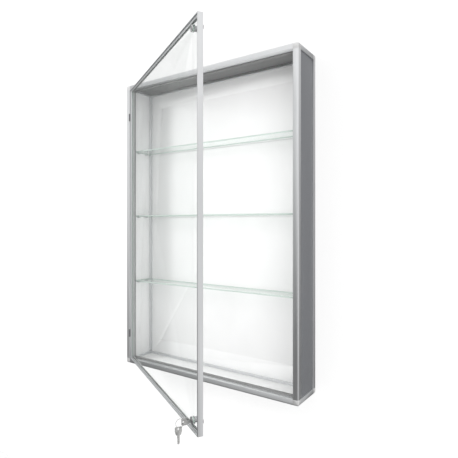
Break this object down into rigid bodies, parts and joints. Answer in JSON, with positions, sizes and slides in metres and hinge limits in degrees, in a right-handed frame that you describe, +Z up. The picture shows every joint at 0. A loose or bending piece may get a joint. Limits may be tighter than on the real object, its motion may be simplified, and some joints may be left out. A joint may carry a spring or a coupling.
{
  "type": "wall display case",
  "caption": "Shallow wall-mounted display case with an aluminium frame, glass shelves and a locking glazed door on side hinges, shown ajar with its keys.",
  "frame": {"origin": "centre of the rear plane, which lies on the wall", "axes": "+Y into the wall, -Y out of the front, +X to the right seen from the front, +Z up"},
  "size_m": [0.8, 0.5433, 1.2177],
  "materials": {
    "frame_aluminium": "satin silver anodised extrusion",
    "corner_alloy": "light satin cast alloy",
    "side_laminate": "grey laminate outside, white inside",
    "back_laminate": "smooth matt white laminate",
    "shelf_glass": "clear float glass with polished green edges",
    "pane_glass": "clear door pane",
    "peg_chrome": "bright plated",
    "spacer_nylon": "moulded nylon",
    "clip_steel": "zinc plated",
    "hinge_steel": "dark oiled steel",
    "rivet_steel": "plain steel",
    "gasket_rubber": "soft pale grey strip",
    "lock_chrome": "bright plated",
    "lock_zinc": "plated zinc",
    "cam_steel": "dark plated steel",
    "key_nickel": "nickel plated brass",
    "ring_steel": "bright wire"
  },
  "bodies": {
    "case": {"back_corner_bottom_left": "corner_alloy", "back_corner_bottom_right": "corner_alloy", "back_corner_top_left": "corner_alloy", "back_corner_top_right": "corner_alloy", "back_panel": "back_laminate", "back_panel_clips": "clip_steel", "back_profile_bottom": "frame_aluminium", "back_profile_left": "frame_aluminium", "back_profile_right": "frame_aluminium", "back_profile_top": "frame_aluminium", "bottom_panel": "side_laminate", "depth_profile_bottom_left": "frame_aluminium", "depth_profile_bottom_right": "frame_aluminium", "depth_profile_top_left": "frame_aluminium", "depth_profile_top_right": "frame_aluminium", "front_corner_bottom_left": "corner_alloy", "front_corner_bottom_right": "corner_alloy", "front_corner_top_left": "corner_alloy", "front_corner_top_right": "corner_alloy", "front_profile_bottom": "frame_aluminium", "front_profile_left": "frame_aluminium", "front_profile_right": "frame_aluminium", "front_profile_top": "frame_aluminium", "glass_shelf_lower": "shelf_glass", "glass_shelf_middle": "shelf_glass", "glass_shelf_upper": "shelf_glass", "hinge_frame_leaf_lower": "hinge_steel", "hinge_frame_leaf_upper": "hinge_steel", "hinge_frame_rivets": "rivet_steel", "hinge_pins": "hinge_steel", "shelf_pegs": "peg_chrome", "side_panel_left": "side_laminate", "side_panel_right": "side_laminate", "top_panel": "side_laminate", "wall_spacers": "spacer_nylon"},
    "door": {"door_corner_cleats": "clip_steel", "door_pane": "pane_glass", "door_rail_bottom": "frame_aluminium", "door_rail_top": "frame_aluminium", "door_stile_free_side": "frame_aluminium", "door_stile_hinge_side": "frame_aluminium", "hinge_door_leaf_lower": "hinge_steel", "hinge_door_leaf_upper": "hinge_steel", "hinge_door_rivets": "rivet_steel", "lock_housing_lower": "lock_chrome", "lock_housing_upper": "lock_chrome", "lock_nuts": "lock_zinc", "lock_washers": "gasket_rubber", "pane_gasket_front": "gasket_rubber", "pane_gasket_rear": "gasket_rubber"},
    "lower_plug": {"lock_plug_lower": "lock_zinc", "lock_cam_lower": "cam_steel", "lock_cam_screw_lower": "cam_steel"},
    "upper_plug": {"lock_plug_upper": "lock_zinc", "lock_cam_upper": "cam_steel", "lock_cam_screw_upper": "cam_steel"},
    "inserted_key": {"key_in_lock": "key_nickel"},
    "ring": {"key_ring": "ring_steel"},
    "hanging_key": {"key_spare": "key_nickel"}
  },
  "joints": [
    {"name": "door_hinge", "type": "hinge", "parent": "case", "child": "door", "pos_m": [-0.3787, -0.1535, 0], "axis": [0, 0, -1], "range_deg": [-30.5, 120]},
    {"name": "lower_lock_turn", "type": "hinge", "parent": "door", "child": "lower_plug", "pos_m": [0.22444, -0.50878, -0.557], "axis": [0.5075, 0.8616, 0], "range_deg": [0, 90]},
    {"name": "upper_lock_turn", "type": "hinge", "parent": "door", "child": "upper_plug", "pos_m": [0.22444, -0.50878, 0.557], "axis": [-0.5075, -0.8616, 0], "range_deg": [0, 90]},
    {"name": "key_slide", "type": "slide", "parent": "lower_plug", "child": "inserted_key", "axis": [-0.5075, -0.8616, 0], "range_m": [0, 0.021]},
    {"name": "ring_hang", "type": "hinge", "parent": "inserted_key", "child": "ring", "pos_m": [0.21652, -0.52222, -0.557], "axis": [0.5075, 0.8616, 0], "range_deg": [-90, 0]},
    {"name": "spare_key_swing", "type": "hinge", "parent": "ring", "child": "hanging_key", "pos_m": [0.20824, -0.53378, -0.57254], "axis": [0.8616, -0.5075, 0], "range_deg": [-15, 15]}
  ],
  "couplings": [
    {"joint": "ring_hang", "follows": "lower_lock_turn", "ratio": -1}
  ]
}
